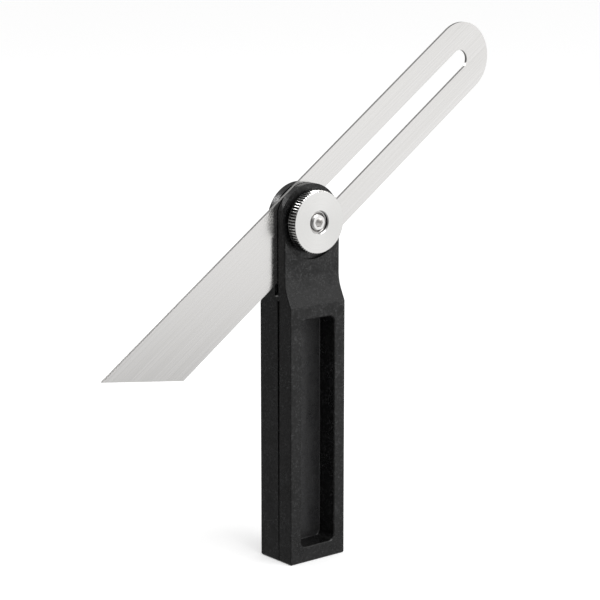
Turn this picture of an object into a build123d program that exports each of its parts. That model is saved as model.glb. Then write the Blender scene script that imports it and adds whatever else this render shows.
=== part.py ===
from build123d import *
import math
import os

os.makedirs("parts", exist_ok=True)

# Sliding T-bevel (adjustable angle gauge).  Millimetres, +Z up.
# Origin: centre of the handle's base face.  X runs across the handle's width,
# the face with the thumb nut looks towards -Y, the handle stands along +Z.

# ---------------------------------------------------------------- driving sizes
# handle
handle_width = 24.6
handle_thickness = 17.2
parting_y = -1.8            # plane where the two halves meet, also the slot's front wall
shoulder_z = 92.9           # top of the full-thickness grip
ramp_slope = 2.07           # rise of each ramp for every millimetre it steps back
ramp_blend_radius = 13.0    # hollow blend from ramp to cheek
shoulder_radius = 0.6
front_setback = 3.25        # how far the front cheek lies behind the front face
back_setback = 5.0
edge_radius = 0.5
base_chamfer = 0.5

# head around the pivot
pivot_rise = 29.0           # pivot above the shoulder
head_swell = 0.8            # head's radius beyond half the handle's width
recess_margin = 0.3         # shallow round seat for the clamp washers, beyond the head's radius
recess_depth = 1.2
floor_clearance = 0.63      # blade's lower edge, as stored, clear of the slot floor's corner
floor_corner = 2.0          # corner break that lets the blade swing past the floor

# grip pockets, one in each face
pocket_side_wall = 4.8      # left between the pocket and each narrow side
pocket_base_z = 5.7
pocket_top_wall = 4.8       # pocket's top below the shoulder
pocket_in_back = 1.3        # the pocket goes through the front half and this far into the back half
pocket_floor_radius = 0.4
pocket_radius = 2.3
pocket_edge = 0.3
back_pocket_side_wall = 6.2
back_pocket_base_z = 12.9
back_pocket_top_wall = 12.0
pocket_web = 4.1            # left between the two pockets

# tapering shadow gap along the parting line on both narrow sides, half of it in each half
gap_depth = 0.8
gap_width_base = 0.4
gap_width_top = 1.2
gap_lip = 1.4               # closed stretch just under the slot floor

# joining screws (countersunk, from the back) and dowel pins
screw_radius = 1.25
screw_head_radius = 2.35
screw_head_height = 1.3
screw_cover = 3.0           # handle left in front of a screw's end
screw_runout = 0.6          # threaded hole beyond the screw's end
screw_socket = 1.5          # across flats
screw_edge = 2.9            # screw's axis to the narrow side
screw_low_z = 6.5
screw_top_drop = 5.3        # upper screws below the shoulder
pin_radius = 1.25
pin_length = 8.0
pin_edge = 2.6              # pin's axis to the narrow side
pin_z = 47.0
pin_float = 0.3             # blind hole beyond each end of a pin
hole_clearance = 0.05       # radial, every drilled hole that takes a plain shank

# blade
blade_length = 198.9
blade_width = 25.8
blade_thickness = 1.0
blade_end_cut = 43.2        # angle of the lower end, degrees to the long edge
blade_angle = 35.2          # long axis above horizontal, as stored
blade_tail = 95.9           # pivot to the sharp tip, along the blade
slot_end_land = 14.2        # slot end centre to the rounded end of the blade
slot_tail = 6.0             # slot's lower end centre to the pivot, as stored
tail_relief = 3.15          # solid tail's lower edge set in from the slotted part's
relief_end = 13.0           # where the relief ends, pivot to there along the blade, as stored
relief_ramp = 5.0           # length of the slope that ends the relief

# clamp stack on the pivot
bolt_radius = 3.0
thread_relief = 0.05        # threaded end under the shank's radius
bolt_head_overhang = 3.0    # head's radius beyond the shank's
bolt_head_height = 2.0
neck_swell = 0.5            # square neck, across flats, beyond the shank's diameter
bolt_set_back = 0.17        # bolt's end face behind the nut's
bolt_socket = 3.0           # across flats
bolt_socket_depth = 3.0
bolt_chamfer = 0.45
bush_wall = 0.5             # bush beside the bolt, at its flats
bush_overlength = 2.4       # bush's length beyond the blade slot's width
slip = 0.03                 # face clearance between pieces that slide on each other
running_clearance = 0.05    # radial, bush on bolt and bush in the blade slot
friction_radius = 9.0
front_friction_thickness = 0.25
back_friction_thickness = 0.7
washer_clearance = 0.15     # radial, washers on the bolt
wave_radius = 8.0
wave_thickness = 0.45
thrust_radius = 8.5
thrust_thickness = 0.55

# knurled thumb nut
nut_radius = 11.05
nut_thickness = 3.9
nut_edge = 0.35
knurl_count = 66
knurl_depth = 0.35
insert_wall = 0.9
insert_set_back = 0.8       # insert's front ring behind the nut's face
insert_dish = 0.45

# ---------------------------------------------------------------- derived places
half_width = handle_width / 2
front_y = -handle_thickness / 2
back_y = handle_thickness / 2
cheek_front_y = front_y + front_setback
cheek_back_y = back_y - back_setback
pivot_z = shoulder_z + pivot_rise
head_radius = half_width + head_swell
recess_radius = head_radius + recess_margin
head_top_z = pivot_z + head_radius
head_corner_z = pivot_z + math.sqrt(head_radius**2 - half_width**2)
recess_y = cheek_front_y + recess_depth

pocket_width = handle_width - 2 * pocket_side_wall
pocket_height = shoulder_z - pocket_top_wall - pocket_base_z
back_pocket_width = handle_width - 2 * back_pocket_side_wall
back_pocket_height = shoulder_z - back_pocket_top_wall - back_pocket_base_z
back_pocket_depth = back_y - parting_y - pocket_in_back - pocket_web

screw_length = handle_thickness - screw_cover
screw_x = half_width - screw_edge
screw_high_z = shoulder_z - screw_top_drop
screw_places = [(x, z) for x in (-screw_x, screw_x) for z in (screw_low_z, screw_high_z)]
pin_x = half_width - pin_edge

# The slot's floor lies low enough for the stored blade to clear the floor's corner.
half_blade = blade_width / 2
stored = math.radians(blade_angle)
floor_drop = (
    half_blade + floor_clearance + (half_width - floor_corner) * math.sin(stored)
) / math.cos(stored)
floor_z = pivot_z - floor_drop

slot_wall_y = parting_y
front_friction_y = slot_wall_y + slip
blade_front_y = front_friction_y + front_friction_thickness + slip
blade_back_y = blade_front_y + blade_thickness
back_friction_y = blade_back_y + slip
slot_back_y = back_friction_y + back_friction_thickness + slip

nut_back_y = recess_y - wave_thickness - thrust_thickness - 4 * slip
bolt_front_y = nut_back_y - nut_thickness + bolt_set_back
bolt_thread_radius = bolt_radius - thread_relief
bolt_head_radius = bolt_radius + bolt_head_overhang
bolt_neck = 2 * bolt_radius + neck_swell
insert_radius = bolt_thread_radius + running_clearance + insert_wall
blade_slot_width = 2 * (bolt_radius + bush_wall + 2 * running_clearance)
bush_length = blade_slot_width + bush_overlength

blade_direction = (math.cos(stored), 0, math.sin(stored))
blade_plane = Plane(origin=(0, blade_back_y, pivot_z), x_dir=blade_direction, z_dir=(0, -1, 0))


def face_plane(y, z=0.0):
    """Plane facing the front (-Y) at depth y, its x axis along +X and its y axis along +Z."""
    return Plane(origin=(0, y, z), x_dir=(1, 0, 0), z_dir=(0, -1, 0))


# Side profile of one handle half, from the parting plane out to its face: the ramp
# runs from the grip to the cheek and blends into it with a hollow radius.
def side_profile(face, cheek):
    ramp_top = shoulder_z + abs(face - cheek) * ramp_slope
    with BuildSketch(Plane.YZ) as profile:
        with BuildLine():
            Polyline(
                (parting_y, 0),
                (face, 0),
                (face, shoulder_z),
                (cheek, ramp_top),
                (cheek, head_top_z + 1),
                (parting_y, head_top_z + 1),
                close=True,
            )
        make_face()
        fillet(profile.vertices().sort_by_distance((cheek, ramp_top, 0))[0], ramp_blend_radius)
        fillet(profile.vertices().sort_by_distance((face, shoulder_z, 0))[0], shoulder_radius)
    return profile.sketch


front_profile = side_profile(front_y, cheek_front_y)
back_profile = side_profile(back_y, cheek_back_y)

# Front outline of the handle: straight sides, the head rounded about the pivot.
with BuildSketch(face_plane(back_y + 1)) as outline:
    with BuildLine():
        Polyline((-half_width, head_corner_z), (-half_width, 0), (half_width, 0), (half_width, head_corner_z))
        ThreePointArc((half_width, head_corner_z), (0, head_top_z), (-half_width, head_corner_z))
    make_face()

# Outline of the tapering shadow gap on a narrow side, half of it in each handle half.
with BuildSketch(Plane.YZ.offset(-half_width - 1)) as gap:
    with BuildLine():
        Polyline(
            (parting_y + gap_width_base / 2, -1),
            (parting_y - gap_width_base / 2, -1),
            (parting_y - gap_width_top / 2, floor_z - floor_corner - gap_lip),
            (parting_y + gap_width_top / 2, floor_z - floor_corner - gap_lip),
            close=True,
        )
    make_face()
far_gap = gap.sketch.moved(Location((2 * half_width + 1 - gap_depth, 0, 0)))

# ---------------------------------------------------------------- front handle half
with BuildPart() as front_handle_half:
    extrude(front_profile, amount=half_width, both=True)
    extrude(outline.sketch, amount=handle_thickness + 2, mode=Mode.INTERSECT)
    outer = front_handle_half.edges().filter_by(lambda e: e.center().Y < parting_y - 0.2)
    sides = outer.filter_by(lambda e: abs(abs(e.center().X) - half_width) < 0.01 and e.center().Z > 1)
    face_edges = sides.filter_by(lambda e: abs(e.tangent_at(0.5).Y) < 0.95)
    crown = outer.filter_by(lambda e: e.center().Z > head_corner_z + 1 and abs(e.tangent_at(0.5).Y) < 0.5)
    fillet(face_edges + crown, edge_radius)
    base_edges = front_handle_half.faces().sort_by(Axis.Z)[0].edges()
    chamfer(base_edges.filter_by(lambda e: e.center().Y < parting_y - 0.1), base_chamfer)
    # grip pocket, right through this half
    with BuildSketch(face_plane(front_y, pocket_base_z + pocket_height / 2)) as pocket:
        RectangleRounded(pocket_width, pocket_height, pocket_radius)
    extrude(amount=-handle_thickness, mode=Mode.SUBTRACT)
    rim = front_handle_half.faces().filter_by(Axis.Y).sort_by(Axis.Y)[0].inner_wires()[0].edges()
    chamfer(rim, pocket_edge)
    # round seat for the clamp washers
    with BuildSketch(face_plane(recess_y, pivot_z)):
        Circle(recess_radius)
    extrude(amount=front_setback, mode=Mode.SUBTRACT)
    # tapering shadow gap down both narrow sides
    extrude(gap.sketch, amount=gap_depth + 1, mode=Mode.SUBTRACT)
    extrude(far_gap, amount=gap_depth + 2, mode=Mode.SUBTRACT)
    # pivot hole, screw threads and pin holes
    with Locations(face_plane(cheek_front_y - 1, pivot_z)):
        Hole(bolt_radius + washer_clearance, depth=handle_thickness)
    with BuildSketch(face_plane(parting_y)) as threads:
        with Locations(*screw_places):
            Circle(screw_radius + hole_clearance)
    extrude(amount=screw_length - (back_y - parting_y) + screw_runout, mode=Mode.SUBTRACT)
    with BuildSketch(face_plane(parting_y)) as front_pins:
        with Locations((pin_x, pin_z), (-pin_x, pin_z)):
            Circle(pin_radius + hole_clearance)
    extrude(amount=pin_length / 2 + pin_float, mode=Mode.SUBTRACT)
front_handle_half.part.label = "front_handle_half"
export_step(front_handle_half.part, "parts/front_handle_half.step")

# ---------------------------------------------------------------- back handle half
with BuildPart() as back_handle_half:
    extrude(back_profile, amount=half_width, both=True)
    extrude(outline.sketch, amount=handle_thickness + 2, mode=Mode.INTERSECT)
    outer = back_handle_half.edges().filter_by(lambda e: e.center().Y > parting_y + 0.2)
    sides = outer.filter_by(lambda e: abs(abs(e.center().X) - half_width) < 0.01 and e.center().Z > 1)
    face_edges = sides.filter_by(lambda e: abs(e.tangent_at(0.5).Y) < 0.95)
    crown = outer.filter_by(lambda e: e.center().Z > head_corner_z + 1 and abs(e.tangent_at(0.5).Y) < 0.5)
    fillet(face_edges + crown, edge_radius)
    base_edges = back_handle_half.faces().sort_by(Axis.Z)[0].edges()
    chamfer(base_edges.filter_by(lambda e: e.center().Y > parting_y + 0.1), base_chamfer)
    # blade slot: open at the top and at both sides, its floor broken at the two corners
    with BuildSketch(face_plane(slot_back_y)) as blade_slot:
        with BuildLine():
            Polyline(
                (-half_width - 1, floor_z - floor_corner - 1),
                (-half_width + floor_corner, floor_z),
                (half_width - floor_corner, floor_z),
                (half_width + 1, floor_z - floor_corner - 1),
                (half_width + 1, head_top_z + 1),
                (-half_width - 1, head_top_z + 1),
                close=True,
            )
        make_face()
    extrude(amount=handle_thickness, mode=Mode.SUBTRACT)
    # tapering shadow gap down both narrow sides
    extrude(gap.sketch, amount=gap_depth + 1, mode=Mode.SUBTRACT)
    extrude(far_gap, amount=gap_depth + 2, mode=Mode.SUBTRACT)
    # floor of the front grip pocket
    with BuildSketch(face_plane(parting_y, pocket_base_z + pocket_height / 2)) as pocket_end:
        RectangleRounded(pocket_width, pocket_height, pocket_radius)
    extrude(amount=-pocket_in_back, mode=Mode.SUBTRACT)
    floor_y = parting_y + pocket_in_back
    floor_edges = back_handle_half.edges().filter_by(
        lambda e: abs(e.center().Y - floor_y) < 0.01 and e.center().Z < shoulder_z and abs(e.tangent_at(0.5).Y) < 0.01
    )
    fillet(floor_edges, pocket_floor_radius)
    # back grip pocket
    with BuildSketch(face_plane(back_y, back_pocket_base_z + back_pocket_height / 2)) as back_pocket:
        RectangleRounded(back_pocket_width, back_pocket_height, pocket_radius)
    extrude(amount=back_pocket_depth, mode=Mode.SUBTRACT)
    rim = back_handle_half.faces().filter_by(Axis.Y).sort_by(Axis.Y)[-1].inner_wires()[0].edges()
    chamfer(rim, pocket_edge)
    # square hole for the bolt's neck
    with BuildSketch(face_plane(back_y, pivot_z)) as neck_hole:
        Rectangle(bolt_neck + 2 * hole_clearance, bolt_neck + 2 * hole_clearance)
    extrude(amount=handle_thickness, mode=Mode.SUBTRACT)
    # countersunk screw holes and blind pin holes
    screw_plane = Plane(origin=(0, back_y, 0), x_dir=(-1, 0, 0), z_dir=(0, 1, 0))
    with Locations(screw_plane):
        with Locations(*screw_places):
            CounterSinkHole(
                screw_radius + hole_clearance,
                screw_head_radius + hole_clearance,
                depth=handle_thickness,
                counter_sink_angle=90,
            )
    with BuildSketch(face_plane(parting_y)) as back_pins:
        with Locations((pin_x, pin_z), (-pin_x, pin_z)):
            Circle(pin_radius + hole_clearance)
    extrude(amount=-(pin_length / 2 + pin_float), mode=Mode.SUBTRACT)
back_handle_half.part.label = "back_handle_half"
export_step(back_handle_half.part, "parts/back_handle_half.step")

# ---------------------------------------------------------------- joining screws
# Four countersunk machine screws with hex sockets, flush with the back face.
with BuildPart() as handle_screws:
    cone = screw_head_radius - screw_radius
    with Locations(screw_plane):
        with Locations(*screw_places):
            Cylinder(screw_radius, screw_length, align=(Align.CENTER, Align.CENTER, Align.MAX))
            Cone(screw_radius, screw_head_radius, cone, align=(Align.CENTER, Align.CENTER, Align.MAX))
    with BuildSketch(screw_plane) as sockets:
        with Locations(*screw_places):
            RegularPolygon(screw_socket / 2, 6, major_radius=False)
    extrude(amount=-screw_head_height, mode=Mode.SUBTRACT)
handle_screws.part.label = "handle_screws"
export_step(handle_screws.part, "parts/handle_screws.step")

# ---------------------------------------------------------------- dowel pins
# Two ground pins that line the halves up.
with BuildPart() as dowel_pins:
    with BuildSketch(face_plane(parting_y + pin_length / 2)) as pin_rounds:
        with Locations((pin_x, pin_z), (-pin_x, pin_z)):
            Circle(pin_radius)
    extrude(amount=pin_length)
    chamfer(dowel_pins.edges().filter_by(GeomType.CIRCLE), 0.2)
dowel_pins.part.label = "dowel_pins"
export_step(dowel_pins.part, "parts/dowel_pins.step")

# ---------------------------------------------------------------- pivot bolt
# Domed head behind the back cheek, square neck in it, round shank through the slot,
# threaded end through the thumb nut with a hex socket in its end face.
with BuildPart() as pivot_bolt:
    with BuildSketch(face_plane(cheek_back_y, pivot_z)):
        Circle(bolt_head_radius)
    extrude(amount=-bolt_head_height)
    dome = pivot_bolt.edges().filter_by(GeomType.CIRCLE).sort_by(Axis.Y)[-1]
    fillet(dome, bolt_head_height * 0.7)
    with BuildSketch(face_plane(cheek_back_y, pivot_z)):
        Rectangle(bolt_neck, bolt_neck)
    extrude(amount=cheek_back_y - slot_back_y)
    with BuildSketch(face_plane(slot_back_y, pivot_z)):
        Circle(bolt_radius)
    extrude(amount=slot_back_y - recess_y)
    with BuildSketch(face_plane(recess_y, pivot_z)):
        Circle(bolt_thread_radius)
    extrude(amount=recess_y - bolt_front_y)
    end_edge = pivot_bolt.edges().filter_by(GeomType.CIRCLE).sort_by(Axis.Y)[0]
    chamfer(end_edge, bolt_chamfer)
    with BuildSketch(face_plane(bolt_front_y, pivot_z)):
        RegularPolygon(bolt_socket / 2, 6, major_radius=False)
    extrude(amount=-bolt_socket_depth, mode=Mode.SUBTRACT)
pivot_bolt.part.label = "pivot_bolt"
export_step(pivot_bolt.part, "parts/pivot_bolt.step")

# ---------------------------------------------------------------- slide bush
# Obround steel bush: turns on the bolt and lets the blade slide along its flats.
bush_width = blade_slot_width - 2 * running_clearance
with BuildPart() as slide_bush:
    with BuildSketch(blade_plane) as bush_section:
        SlotOverall(bush_length, bush_width)
        Circle(bolt_radius + running_clearance, mode=Mode.SUBTRACT)
    extrude(amount=blade_thickness)
slide_bush.part.label = "slide_bush"
export_step(slide_bush.part, "parts/slide_bush.step")

# ---------------------------------------------------------------- friction washers
with BuildPart() as front_friction_washer:
    with BuildSketch(face_plane(front_friction_y + front_friction_thickness, pivot_z)):
        Circle(friction_radius)
        Circle(bolt_radius + washer_clearance, mode=Mode.SUBTRACT)
    extrude(amount=front_friction_thickness)
front_friction_washer.part.label = "front_friction_washer"
export_step(front_friction_washer.part, "parts/front_friction_washer.step")

with BuildPart() as back_friction_washer:
    with BuildSketch(face_plane(back_friction_y + back_friction_thickness, pivot_z)):
        Circle(friction_radius)
        Circle(bolt_radius + washer_clearance, mode=Mode.SUBTRACT)
    extrude(amount=back_friction_thickness)
back_friction_washer.part.label = "back_friction_washer"
export_step(back_friction_washer.part, "parts/back_friction_washer.step")

# ---------------------------------------------------------------- blade
# Flat steel strip.  Sketch x runs along the blade with the pivot at 0: the solid tail is
# cut at an angle and a little narrower, the far end is fully rounded, and one long slot
# runs through the wider part.
blade_tip = blade_length - blade_tail
end_centre = blade_tip - half_blade
tail_edge = tail_relief - half_blade
tail_low = -blade_tail + (blade_width - tail_relief) / math.tan(math.radians(blade_end_cut))
slot_far = blade_tip - slot_end_land
with BuildPart() as blade:
    with BuildSketch(blade_plane) as blade_face:
        with BuildLine():
            Polyline(
                (end_centre, -half_blade),
                (relief_ramp - relief_end, -half_blade),
                (-relief_end, tail_edge),
                (tail_low, tail_edge),
                (-blade_tail, half_blade),
                (end_centre, half_blade),
            )
            ThreePointArc((end_centre, half_blade), (blade_tip, 0), (end_centre, -half_blade))
        make_face()
        with Locations(((slot_far - slot_tail) / 2, 0)):
            SlotCenterToCenter(slot_far + slot_tail, blade_slot_width, mode=Mode.SUBTRACT)
    extrude(amount=blade_thickness)
blade.part.label = "blade"
export_step(blade.part, "parts/blade.step")

# ---------------------------------------------------------------- wave and thrust washers
with BuildPart() as wave_washer:
    with BuildSketch(face_plane(recess_y - slip, pivot_z)):
        Circle(wave_radius)
        Circle(bolt_radius + 2 * washer_clearance, mode=Mode.SUBTRACT)
    extrude(amount=wave_thickness)
wave_washer.part.label = "wave_washer"
export_step(wave_washer.part, "parts/wave_washer.step")

with BuildPart() as thrust_washer:
    with BuildSketch(face_plane(nut_back_y + slip + thrust_thickness, pivot_z)):
        Circle(thrust_radius)
        Circle(bolt_radius + washer_clearance, mode=Mode.SUBTRACT)
    extrude(amount=thrust_thickness)
    chamfer(thrust_washer.edges().filter_by(GeomType.CIRCLE).group_by(SortBy.RADIUS)[-1], 0.12)
thrust_washer.part.label = "thrust_washer"
export_step(thrust_washer.part, "parts/thrust_washer.step")

# ---------------------------------------------------------------- knurled thumb nut
# Turned disc with a straight knurl; both rims are chamfered through the knurl.
with BuildPart() as thumb_nut:
    with BuildSketch(face_plane(nut_back_y, pivot_z)) as knurl:
        Circle(nut_radius)
        with PolarLocations(nut_radius + 0.05, knurl_count):
            Rectangle(2 * knurl_depth, 2 * knurl_depth, rotation=45, mode=Mode.SUBTRACT)
        Circle(insert_radius, mode=Mode.SUBTRACT)
    extrude(amount=nut_thickness)
    with BuildSketch(Plane(origin=(0, nut_back_y, pivot_z), x_dir=(0, 0, 1), z_dir=(1, 0, 0))) as lathe:
        with BuildLine():
            Polyline(
                (0, 0),
                (nut_radius - nut_edge, 0),
                (nut_radius + 0.1, nut_edge + 0.1),
                (nut_radius + 0.1, nut_thickness - nut_edge - 0.1),
                (nut_radius - nut_edge, nut_thickness),
                (0, nut_thickness),
                close=True,
            )
        make_face()
    revolve(lathe.sketch, axis=Axis((0, 0, pivot_z), (0, 1, 0)), mode=Mode.INTERSECT)
    mouth = thumb_nut.edges().filter_by(GeomType.CIRCLE).group_by(SortBy.RADIUS)[0].sort_by(Axis.Y)[0]
    chamfer(mouth, 0.3)
thumb_nut.part.label = "thumb_nut"
export_step(thumb_nut.part, "parts/thumb_nut.step")

# Threaded steel ring pressed into the nut, its front end dished.
with BuildPart() as nut_insert:
    with BuildSketch(face_plane(nut_back_y, pivot_z)):
        Circle(insert_radius)
        Circle(bolt_thread_radius + running_clearance, mode=Mode.SUBTRACT)
    extrude(amount=nut_thickness - insert_set_back)
    dish = nut_insert.edges().filter_by(GeomType.CIRCLE).group_by(SortBy.RADIUS)[0].sort_by(Axis.Y)[0]
    chamfer(dish, insert_dish)
nut_insert.part.label = "nut_insert"
export_step(nut_insert.part, "parts/nut_insert.step")
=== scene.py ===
import bpy
import bmesh
import math
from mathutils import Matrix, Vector


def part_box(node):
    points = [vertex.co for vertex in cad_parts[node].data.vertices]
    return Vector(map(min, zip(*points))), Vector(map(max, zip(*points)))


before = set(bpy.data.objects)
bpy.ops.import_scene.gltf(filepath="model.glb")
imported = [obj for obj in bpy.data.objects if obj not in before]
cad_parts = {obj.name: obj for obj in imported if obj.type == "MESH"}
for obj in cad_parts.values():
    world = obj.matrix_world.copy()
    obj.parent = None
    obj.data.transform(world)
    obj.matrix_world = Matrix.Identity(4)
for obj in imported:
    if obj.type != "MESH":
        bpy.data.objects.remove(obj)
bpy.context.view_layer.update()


# ------------------------------------------------------------------ handle halves
# Two mouldings of black glass-filled nylon, screwed together from the back. The skin is
# matt and faintly cloudy where the glass fibres come near the surface, with a fine grain.
def new_finish(name):
    """A new material with its node tree and its shader."""
    material = bpy.data.materials.new(name)
    material.use_nodes = True
    tree = material.node_tree
    return material, tree, tree.nodes["Principled BSDF"]


def place_on_piece(tree, centre=(0, 0, 0), turn=(0, 0, 0), scale=(1, 1, 1)):
    """Object coordinates, moved so that centre is at zero, then turned and scaled."""
    coordinates = tree.nodes.new("ShaderNodeTexCoord")
    move = tree.nodes.new("ShaderNodeMapping")
    move.inputs["Location"].default_value = [-c for c in centre]
    tree.links.new(coordinates.outputs["Object"], move.inputs["Vector"])
    stretch = tree.nodes.new("ShaderNodeMapping")
    stretch.inputs["Rotation"].default_value = turn
    tree.links.new(move.outputs["Vector"], stretch.inputs["Vector"])
    size = tree.nodes.new("ShaderNodeMapping")
    size.inputs["Scale"].default_value = scale
    tree.links.new(stretch.outputs["Vector"], size.inputs["Vector"])
    return size.outputs["Vector"]


def noise(tree, vector, scale, detail=2.0, roughness=0.5):
    """Cloudy pattern with scale cells to the metre."""
    texture = tree.nodes.new("ShaderNodeTexNoise")
    texture.inputs["Scale"].default_value = scale
    texture.inputs["Detail"].default_value = detail
    texture.inputs["Roughness"].default_value = roughness
    tree.links.new(vector, texture.inputs["Vector"])
    return texture.outputs["Fac"]


def spread(tree, value, low, high, at=(0.35, 0.65)):
    """Maps a pattern's middle range on to low..high."""
    ramp = tree.nodes.new("ShaderNodeMapRange")
    ramp.inputs["From Min"].default_value = at[0]
    ramp.inputs["From Max"].default_value = at[1]
    ramp.inputs["To Min"].default_value = low
    ramp.inputs["To Max"].default_value = high
    tree.links.new(value, ramp.inputs["Value"])
    return ramp.outputs["Result"]


def combine(tree, operation, first, second=0):
    """One step of arithmetic on patterns or plain numbers."""
    node = tree.nodes.new("ShaderNodeMath")
    node.operation = operation
    for socket, value in zip(node.inputs, (first, second)):
        if isinstance(value, (int, float)):
            socket.default_value = value
        else:
            tree.links.new(value, socket)
    return node.outputs["Value"]


def weigh(tree, first, second, share):
    """Sum of two patterns, the first with the given share."""
    return combine(
        tree,
        "ADD",
        combine(tree, "MULTIPLY", first, share),
        combine(tree, "MULTIPLY", second, round(1 - share, 4)),
    )


def component(tree, vector, axis):
    """The X, Y or Z component of a vector."""
    split = tree.nodes.new("ShaderNodeSeparateXYZ")
    tree.links.new(vector, split.inputs["Vector"])
    return split.outputs[axis]


def colour_between(tree, value, dark, light):
    """Colour that runs from dark at 0 to light at 1."""
    ramp = tree.nodes.new("ShaderNodeValToRGB")
    ramp.color_ramp.elements[0].color = (*dark, 1)
    ramp.color_ramp.elements[1].color = (*light, 1)
    tree.links.new(value, ramp.inputs["Fac"])
    return ramp.outputs["Color"]


def bump(tree, height, shader, strength, depth):
    """Fine relief, depth in metres."""
    node = tree.nodes.new("ShaderNodeBump")
    node.inputs["Strength"].default_value = strength
    node.inputs["Distance"].default_value = depth
    tree.links.new(height, node.inputs["Height"])
    tree.links.new(node.outputs["Normal"], shader.inputs["Normal"])


def dress(node, material):
    """Gives a piece its finish."""
    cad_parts[node].material_slots[0].material = material


moulded_black, tree, shader = new_finish("moulded_black_nylon")
here = place_on_piece(tree)
clouds = noise(tree, here, 170, 3.0, 0.6)
grain = noise(tree, here, 1800, 2.0, 0.7)
fibres = spread(tree, grain, 0, 1.0, (0.54, 0.66))
skin_tone_and_floor_light = combine(tree, "ADD", spread(tree, clouds, 0, 0.08, (0.4, 0.62)), fibres)
# the floor of the front pocket is painted greyer, in coarse grain: painted light for the light that
# falls on the pocket floor
pocket_floor_y = -0.0005
pocket_half_width = 0.0075
floor_skin = 0.0002
past_floor = combine(tree, "ADD", component(tree, here, "Y"), -pocket_floor_y)
off_floor = combine(tree, "ABSOLUTE", past_floor)
off_middle = combine(tree, "ABSOLUTE", component(tree, here, "X"))
on_floor = combine(
    tree,
    "MULTIPLY",
    combine(tree, "LESS_THAN", off_floor, floor_skin),
    combine(tree, "LESS_THAN", off_middle, pocket_half_width),
)
# painted light: the pocket floor's colour is raised towards grey
painted_floor_light = combine(tree, "MULTIPLY", on_floor, spread(tree, grain, 0.3, 1.0, (0.4, 0.62)))
skin_tone_and_floor_light = combine(tree, "ADD", skin_tone_and_floor_light, painted_floor_light)
deep_black = (0.0003, 0.0003, 0.0003)
fibre_grey = (0.032, 0.032, 0.033)
tree.links.new(colour_between(tree, skin_tone_and_floor_light, deep_black, fibre_grey), shader.inputs["Base Color"])
cloudiness = weigh(tree, clouds, grain, 0.55)
tree.links.new(spread(tree, cloudiness, 0.55, 0.18, (0.42, 0.58)), shader.inputs["Roughness"])
shader.inputs["Specular IOR Level"].default_value = 0.5
bump(tree, grain, shader, 0.5, 0.00006)
for half in ("front_handle_half", "back_handle_half"):
    dress(half, moulded_black)

# ------------------------------------------------------------------ screws
# Four countersunk machine screws with a black oxide skin. They go in from the back, flush
# with the face, and hold the two halves together.
black_oxide, tree, shader = new_finish("black_oxide_steel")
here = place_on_piece(tree)
patches = noise(tree, here, 900, 3.0)
oxide = colour_between(tree, patches, (0.012, 0.012, 0.014), (0.05, 0.05, 0.055))
tree.links.new(oxide, shader.inputs["Base Color"])
tree.links.new(spread(tree, patches, 0.3, 0.45), shader.inputs["Roughness"])
shader.inputs["Metallic"].default_value = 0.85
dress("handle_screws", black_oxide)

# ------------------------------------------------------------------ pivot bolt and pins
# Plain steel, turned on a lathe: the bolt that passes through both cheeks with a hex
# socket in its end, and the two dowel pins buried between the halves.
bolt_low, bolt_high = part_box("pivot_bolt")
pivot = (0.0, 0.0, (bolt_low.z + bolt_high.z) / 2)


def distance_from_pivot(tree, here):
    """Distance from the pivot's axis, which runs along Y through zero."""
    flat = tree.nodes.new("ShaderNodeVectorMath")
    flat.operation = "MULTIPLY"
    flat.inputs[1].default_value = (1, 0, 1)
    tree.links.new(here, flat.inputs[0])
    radius = tree.nodes.new("ShaderNodeVectorMath")
    radius.operation = "LENGTH"
    tree.links.new(flat.outputs["Vector"], radius.inputs[0])
    return radius.outputs["Value"]


def direct_grain(tree, shader, direction, amount):
    """Stretches the shine across the grain; the direction is in the piece's own frame."""
    grain_way = tree.nodes.new("ShaderNodeVectorTransform")
    grain_way.vector_type = "VECTOR"
    grain_way.convert_from = "OBJECT"
    grain_way.convert_to = "WORLD"
    if isinstance(direction, tuple):
        grain_way.inputs["Vector"].default_value = direction
    else:
        tree.links.new(direction, grain_way.inputs["Vector"])
    tree.links.new(grain_way.outputs["Vector"], shader.inputs["Tangent"])
    shader.inputs["Anisotropic"].default_value = amount


turning_depth = 0.00001


def turned_steel(name, colour, roughness, ring_scale):
    """Steel finished on a lathe: fine rings round the pivot's axis."""
    material, tree, shader = new_finish(name)
    here = place_on_piece(tree, pivot)
    rings = tree.nodes.new("ShaderNodeTexNoise")
    rings.noise_dimensions = "1D"
    rings.inputs["Scale"].default_value = ring_scale
    rings.inputs["Detail"].default_value = 3.0
    tree.links.new(distance_from_pivot(tree, here), rings.inputs["W"])
    drift = noise(tree, here, 140, 2.0)
    tone = weigh(tree, rings.outputs["Fac"], drift, 0.7)
    duller = tuple(c * 0.9 for c in colour)
    tree.links.new(
        colour_between(tree, spread(tree, tone, 0, 1), duller, colour), shader.inputs["Base Color"]
    )
    tree.links.new(spread(tree, tone, roughness * 0.85, roughness * 1.15), shader.inputs["Roughness"])
    shader.inputs["Metallic"].default_value = 1.0
    bump(tree, rings.outputs["Fac"], shader, 0.3, turning_depth)
    # the grain runs round the axis
    around = tree.nodes.new("ShaderNodeVectorMath")
    around.operation = "CROSS_PRODUCT"
    around.inputs[1].default_value = (0, 1, 0)
    tree.links.new(here, around.inputs[0])
    direct_grain(tree, shader, around.outputs["Vector"], 0.5)
    return material


bolt_steel = turned_steel("bolt_steel", (0.92, 0.91, 0.9), 0.2, 5200)
for piece in ("pivot_bolt", "dowel_pins"):
    dress(piece, bolt_steel)

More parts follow.
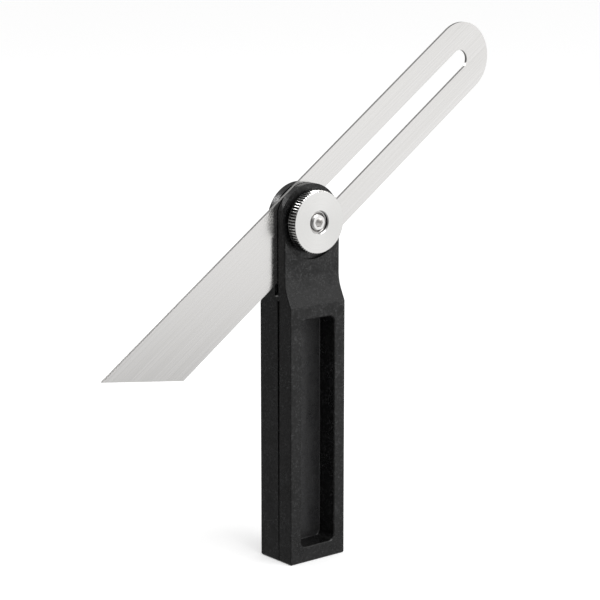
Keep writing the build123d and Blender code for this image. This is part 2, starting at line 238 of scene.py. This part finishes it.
# ------------------------------------------------------------------ clamp washers and bush
# Black acetal discs fill the blade slot beside the blade, a steel bush with two flats
# guides the blade, and a wave washer and thrust washer sit under the nut.
acetal, tree, shader = new_finish("black_acetal")
here = place_on_piece(tree)
haze = noise(tree, here, 700, 2.0)
acetal_black = colour_between(tree, haze, (0.008, 0.008, 0.008), (0.016, 0.016, 0.016))
tree.links.new(acetal_black, shader.inputs["Base Color"])
tree.links.new(spread(tree, haze, 0.35, 0.5), shader.inputs["Roughness"])
for piece in ("front_friction_washer", "back_friction_washer"):
    dress(piece, acetal)
spring_steel = turned_steel("spring_steel", (0.3, 0.29, 0.28), 0.3, 3000)
for piece in ("wave_washer", "slide_bush"):
    dress(piece, spring_steel)
washer_steel = turned_steel("washer_steel", (0.04, 0.04, 0.042), 0.35, 3000)
dress("thrust_washer", washer_steel)

# ------------------------------------------------------------------ blade
# Stainless strip, blanked and slotted, then brushed along its length on both faces. The sawn edges
# are painted darker than the faces: partly a duller sawn finish, partly painted shade for the dark
# line the edges show.
blade_turn = math.radians(35.2)
brushed, tree, shader = new_finish("brushed_blade_steel")
along = place_on_piece(tree, pivot, (0, blade_turn, 0), (14, 900, 2600))
streaks = noise(tree, along, 1.0, 4.0, 0.65)
broad = place_on_piece(tree, pivot, (0, blade_turn, 0), (6, 100, 420))
bands = noise(tree, broad, 1.0, 2.0)
tone = weigh(tree, streaks, bands, 0.7)
# the faces lie half the thickness away from the blade's middle; the narrow edges lie nearer
blade_low, blade_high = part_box("blade")
blade_middle = (blade_low.y + blade_high.y) / 2
blade_half = (blade_high.y - blade_low.y) / 2
from_middle = component(tree, place_on_piece(tree, (0, blade_middle, 0)), "Y")
on_face = combine(tree, "GREATER_THAN", combine(tree, "ABSOLUTE", from_middle), blade_half * 0.98)
face_steel = colour_between(
    tree, spread(tree, tone, 0, 1, (0.35, 0.65)), (0.74, 0.73, 0.715), (0.86, 0.85, 0.84)
)
# the narrow edges get a darker steel colour than the faces: partly their sawn finish, partly painted
# shade
edge_steel_and_shade = (0.55, 0.54, 0.53, 1)
faces_and_edges = tree.nodes.new("ShaderNodeMix")
faces_and_edges.data_type = "RGBA"
tree.links.new(on_face, faces_and_edges.inputs["Factor"])
faces_and_edges.inputs["A"].default_value = edge_steel_and_shade
tree.links.new(face_steel, faces_and_edges.inputs["B"])
tree.links.new(faces_and_edges.outputs["Result"], shader.inputs["Base Color"])
tree.links.new(spread(tree, tone, 0.15, 0.25), shader.inputs["Roughness"])
shader.inputs["Metallic"].default_value = 1.0
bump(tree, streaks, shader, 0.15, 0.00001)
direct_grain(tree, shader, (math.cos(blade_turn), 0, math.sin(blade_turn)), 0.6)
dress("blade", brushed)

# ------------------------------------------------------------------ thumb nut
# Turned stainless nut with a straight knurl on its rim and a threaded steel ring pressed
# into its middle. The face is spun to a satin finish.
satin_nut = turned_steel("satin_nut_steel", (0.86, 0.855, 0.84), 0.2, 4200)
tree = satin_nut.node_tree
shader = tree.nodes["Principled BSDF"]
nut_low, nut_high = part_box("thumb_nut")
crest_radius = (nut_high.x - nut_low.x) / 2
nut_middle = (nut_low.y + nut_high.y) / 2
rim_chamfer = 0.00035
knurl_half = (nut_high.y - nut_low.y) / 2 - rim_chamfer
groove_floor = crest_radius - 0.0003
groove_top = crest_radius - 0.00012
# the grooves of the knurl are painted near black: painted shade between the teeth; their crests keep
# the turned colour
from_middle = component(tree, place_on_piece(tree, (0, nut_middle, 0)), "Y")
on_rim = combine(tree, "LESS_THAN", combine(tree, "ABSOLUTE", from_middle), knurl_half)
radius = distance_from_pivot(tree, place_on_piece(tree, pivot))
groove_shade_mask = combine(tree, "MULTIPLY", on_rim, spread(tree, radius, 1, 0, (groove_floor, groove_top)))
turned_colour = shader.inputs["Base Color"].links[0].from_socket
painted_groove_shade = tree.nodes.new("ShaderNodeMix")
painted_groove_shade.data_type = "RGBA"
tree.links.new(groove_shade_mask, painted_groove_shade.inputs["Factor"])
tree.links.new(turned_colour, painted_groove_shade.inputs["A"])
# near black painted shade in the knurl's grooves
painted_groove_shade.inputs["B"].default_value = (0.03, 0.03, 0.03, 1)
tree.links.new(painted_groove_shade.outputs["Result"], shader.inputs["Base Color"])
dress("thumb_nut", satin_nut)
ring_steel = turned_steel("ring_steel", (0.6, 0.59, 0.58), 0.16, 5200)
dress("nut_insert", ring_steel)


# ------------------------------------------------------------------ floor, light, camera
# A pale seamless floor and backdrop under soft studio light: a broad bright side to the
# front right, a softbox above the front and a strip behind that lights the rounded head.
def stage_piece(name, shape, material):
    mesh = bpy.data.meshes.new(name)
    shape.to_mesh(mesh)
    shape.free()
    piece = bpy.data.objects.new(name, mesh)
    bpy.context.scene.collection.objects.link(piece)
    mesh.materials.append(material)
    return piece


def glowing_white(name, base):
    """Matt white that also glows a little."""
    material, tree, shader = new_finish(name)
    shader.inputs["Base Color"].default_value = (base, base, base, 1)
    shader.inputs["Specular IOR Level"].default_value = 0.0
    shader.inputs["Emission Color"].default_value = (1, 1, 1, 1)
    return material, tree, shader


floor_radius = 12.0
backdrop_radius = 11.5

floor_white, tree, shader = glowing_white("studio_floor", 0.9)
shader.inputs["Roughness"].default_value = 1.0
# a lit cove: the lamps fade towards the far floor, so its own glow rises outwards
out_from_middle = tree.nodes.new("ShaderNodeVectorMath")
out_from_middle.operation = "LENGTH"
tree.links.new(place_on_piece(tree), out_from_middle.inputs[0])
glow = spread(tree, out_from_middle.outputs["Value"], 0.38, 0.475, (0.15, 1.0))
tree.links.new(glow, shader.inputs["Emission Strength"])
shape = bmesh.new()
bmesh.ops.create_circle(shape, cap_ends=True, segments=96, radius=floor_radius)
floor = stage_piece("studio_floor", shape, floor_white)
floor.visible_glossy = False

backdrop_white, tree, shader = glowing_white("studio_backdrop", 0)
shader.inputs["Emission Strength"].default_value = 0.985
shape = bmesh.new()
bmesh.ops.create_uvsphere(shape, u_segments=48, v_segments=24, radius=backdrop_radius)
backdrop = stage_piece("studio_backdrop", shape, backdrop_white)
for ray in ("diffuse", "glossy", "transmission", "volume_scatter", "shadow"):
    setattr(backdrop, f"visible_{ray}", False)

world = bpy.data.worlds.new("studio")
bpy.context.scene.world = world
world.use_nodes = True
tree = world.node_tree
background = tree.nodes["Background"]
direction = tree.nodes.new("ShaderNodeTexCoord").outputs["Generated"]
upward = component(tree, direction, "Z")


def sky_ramp(stops):
    """Brightness from straight down (0) to straight up (1), by the sine of the elevation."""
    ramp = tree.nodes.new("ShaderNodeValToRGB")
    elements = ramp.color_ramp.elements
    while len(elements) > 1:
        elements.remove(elements[-1])
    for i, (at, value) in enumerate(stops):
        element = elements[0] if i == 0 else elements.new(at)
        element.position = at
        element.color = (value, value, value, 1)
    tree.links.new(spread(tree, upward, 0, 1, (-1, 1)), ramp.inputs["Fac"])
    return ramp.outputs["Color"]


# the bright side falls off steeply below the horizon, which shades the blade towards its tip
bright_side = sky_ramp(
    [
        (0.0, 0.3),
        (0.34, 0.32),
        (0.37, 0.55),
        (0.39, 0.9),
        (0.41, 1.08),
        (0.46, 0.97),
        (0.6, 1.0),
        (1.0, 0.6),
    ]
)
dark_side = sky_ramp([(0.0, 0.4), (0.4, 0.2), (0.6, 0.12), (0.8, 0.35), (1.0, 0.7)])
towards = tree.nodes.new("ShaderNodeVectorMath")
towards.operation = "DOT_PRODUCT"
towards.inputs[1].default_value = (0.72, -0.69, 0.0)
tree.links.new(direction, towards.inputs[0])
sides = tree.nodes.new("ShaderNodeMix")
sides.data_type = "RGBA"
tree.links.new(spread(tree, towards.outputs["Value"], 0, 1, (0.0, 0.7)), sides.inputs["Factor"])
tree.links.new(dark_side, sides.inputs["A"])
tree.links.new(bright_side, sides.inputs["B"])
tree.links.new(sides.outputs["Result"], background.inputs["Color"])
background.inputs["Strength"].default_value = 1.0


def softbox(name, place, target, width, height, radiance):
    """Area light of a given brightness per area, facing its target."""
    lamp = bpy.data.lights.new(name, "AREA")
    lamp.shape = "RECTANGLE"
    lamp.size = width
    lamp.size_y = height
    lamp.energy = radiance * math.pi * width * height
    lamp_object = bpy.data.objects.new(name, lamp)
    bpy.context.scene.collection.objects.link(lamp_object)
    lamp_object.location = place
    towards_target = Vector(target) - Vector(place)
    lamp_object.rotation_euler = towards_target.to_track_quat("-Z", "Y").to_euler()


softbox("top_softbox", (0.12, -0.6, 1.0), (0, 0, 0.1), 0.8, 0.8, 2.6)
softbox("back_strip", (-0.42, 1.0, 0.85), (0, 0, 0.12), 0.3, 0.5, 6.5)

camera = bpy.data.objects.new("camera", bpy.data.cameras.new("camera"))
bpy.context.scene.collection.objects.link(camera)
camera.data.sensor_width = 36.0
camera.data.lens = 125.8
camera.data.clip_start = 0.01
camera.data.clip_end = 60.0
camera.location = (-0.4560, -0.5571, 0.2446)
aim = Vector((-0.00071, 0.00058, 0.09315))
camera.rotation_euler = (aim - camera.location).to_track_quat("-Z", "Y").to_euler()
bpy.context.scene.camera = camera
bpy.context.scene.view_settings.view_transform = "Standard"
